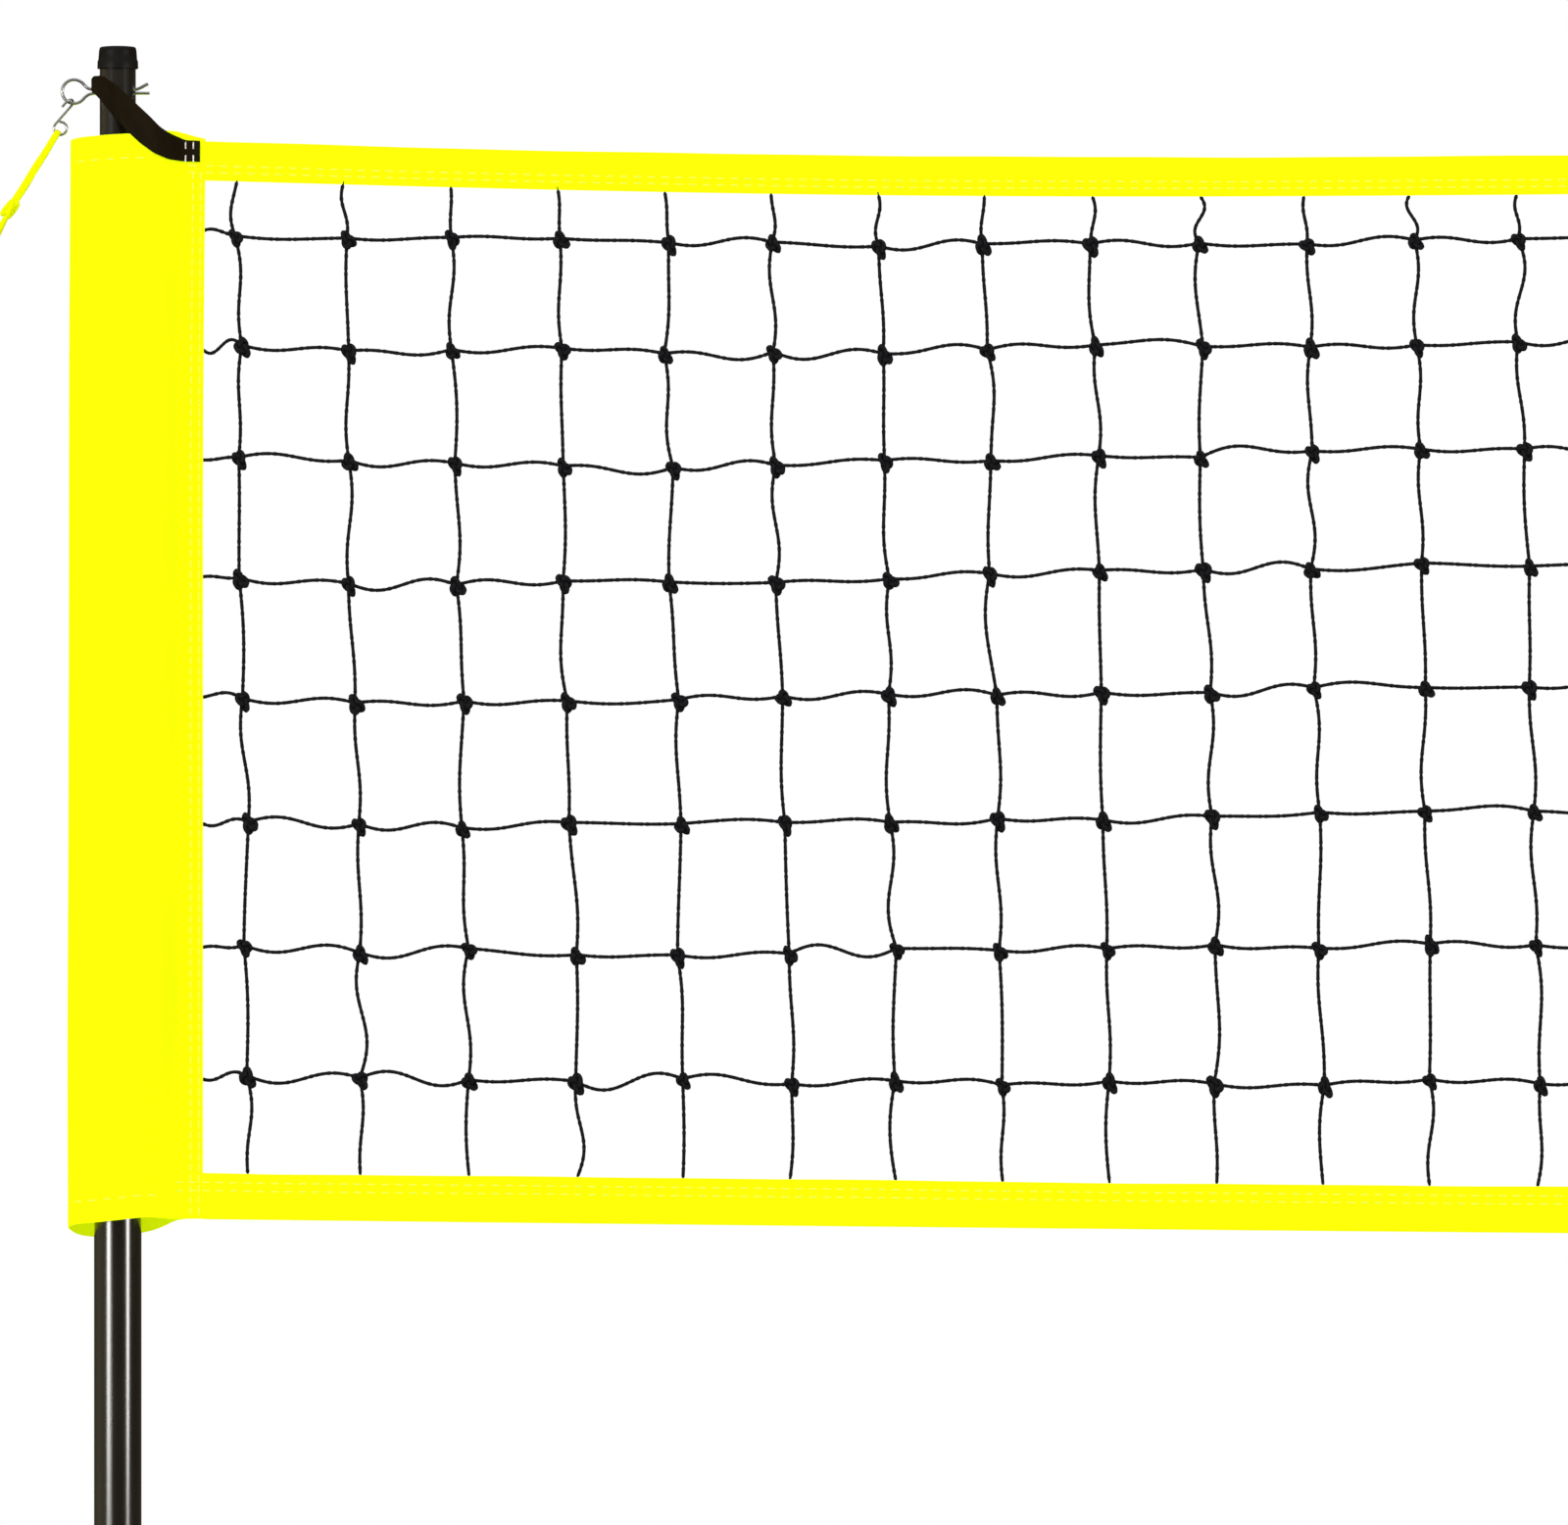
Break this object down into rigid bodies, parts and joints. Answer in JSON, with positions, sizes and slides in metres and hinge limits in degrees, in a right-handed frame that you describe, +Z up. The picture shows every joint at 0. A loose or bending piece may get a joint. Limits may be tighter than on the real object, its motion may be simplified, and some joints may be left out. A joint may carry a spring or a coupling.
{
  "type": "volleyball net on poles",
  "caption": "Volleyball net with neon tapes and cloth sleeves, hung between two telescoping black poles held by pegged guy lines.",
  "frame": {"origin": "centre of the left pole's foot on the ground", "axes": "+X along the net to the right pole, +Y to the back, +Z up the pole"},
  "size_m": [12.0254, 2.2866, 2.4753],
  "materials": {
    "black_paint": "gloss powder coat",
    "black_plastic": "moulded, fine grain",
    "black_rubber": "matte",
    "black_webbing": "woven webbing",
    "neon_cloth": "coated cloth, folded and stitched",
    "dark_twine": "twisted and knotted twine",
    "yellow_cord": "flat braid",
    "yellow_plastic": "moulded",
    "zinc": "zinc plated",
    "spring_steel": "blued spring steel"
  },
  "bodies": {
    "lower_poles": {"left_foot_cap": "black_rubber", "left_base_tube": "black_paint", "left_middle_tube": "black_paint", "left_section_spring": "spring_steel", "left_clamp_collet": "black_plastic", "left_front_guy_line": "yellow_cord", "left_back_guy_line": "yellow_cord", "left_front_tensioner": "yellow_plastic", "left_back_tensioner": "yellow_plastic", "right_foot_cap": "black_rubber", "right_base_tube": "black_paint", "right_middle_tube": "black_paint", "right_section_spring": "spring_steel", "right_clamp_collet": "black_plastic", "right_front_guy_line": "yellow_cord", "right_back_guy_line": "yellow_cord", "right_front_tensioner": "yellow_plastic", "right_back_tensioner": "yellow_plastic", "ground_pegs": "zinc"},
    "left_mast": {"left_top_tube": "black_paint", "left_guide_bush": "black_plastic", "left_top_cap": "black_plastic", "left_eye_pin": "zinc", "left_top_strap": "black_webbing", "left_guy_hook": "zinc", "left_guy_loop": "yellow_cord", "left_guy_knot": "yellow_cord", "left_sleeve": "neon_cloth", "top_tape": "neon_cloth", "bottom_tape": "neon_cloth", "net": "dark_twine"},
    "left_collar": {"left_clamp_collar": "black_plastic"},
    "left_button": {"left_section_button": "zinc"},
    "right_mast": {"right_top_tube": "black_paint", "right_guide_bush": "black_plastic", "right_top_cap": "black_plastic", "right_eye_pin": "zinc", "right_top_strap": "black_webbing", "right_guy_hook": "zinc", "right_guy_loop": "yellow_cord", "right_guy_knot": "yellow_cord", "right_sleeve": "neon_cloth"},
    "right_collar": {"right_clamp_collar": "black_plastic"},
    "right_button": {"right_section_button": "zinc"}
  },
  "joints": [
    {"name": "left_height", "type": "slide", "parent": "lower_poles", "child": "left_mast", "axis": [0, 0, 1], "range_m": [-0.45, 0.19], "deforming": ["left_front_guy_line", "left_back_guy_line"]},
    {"name": "left_clamp_twist", "type": "hinge", "parent": "lower_poles", "child": "left_collar", "pos_m": [0, 0, 1.76], "axis": [0, 0, 1], "range_deg": [0, 120]},
    {"name": "left_button_press", "type": "slide", "parent": "lower_poles", "child": "left_button", "axis": [0, 1, 0], "range_m": [0, 0.005], "stiffness_N_per_m": 600, "springref_m": -0.002, "deforming": ["left_section_spring"]},
    {"name": "right_height", "type": "slide", "parent": "lower_poles", "child": "right_mast", "axis": [0, 0, 1], "range_m": [-0.45, 0.19], "deforming": ["right_front_guy_line", "right_back_guy_line"]},
    {"name": "right_clamp_twist", "type": "hinge", "parent": "lower_poles", "child": "right_collar", "pos_m": [9.63, 0, 1.76], "axis": [0, 0, 1], "range_deg": [0, 120]},
    {"name": "right_button_press", "type": "slide", "parent": "lower_poles", "child": "right_button", "axis": [0, 1, 0], "range_m": [0, 0.005], "stiffness_N_per_m": 600, "springref_m": -0.002, "deforming": ["right_section_spring"]}
  ],
  "couplings": [
    {"joint": "right_height", "follows": "left_height", "ratio": 1}
  ]
}
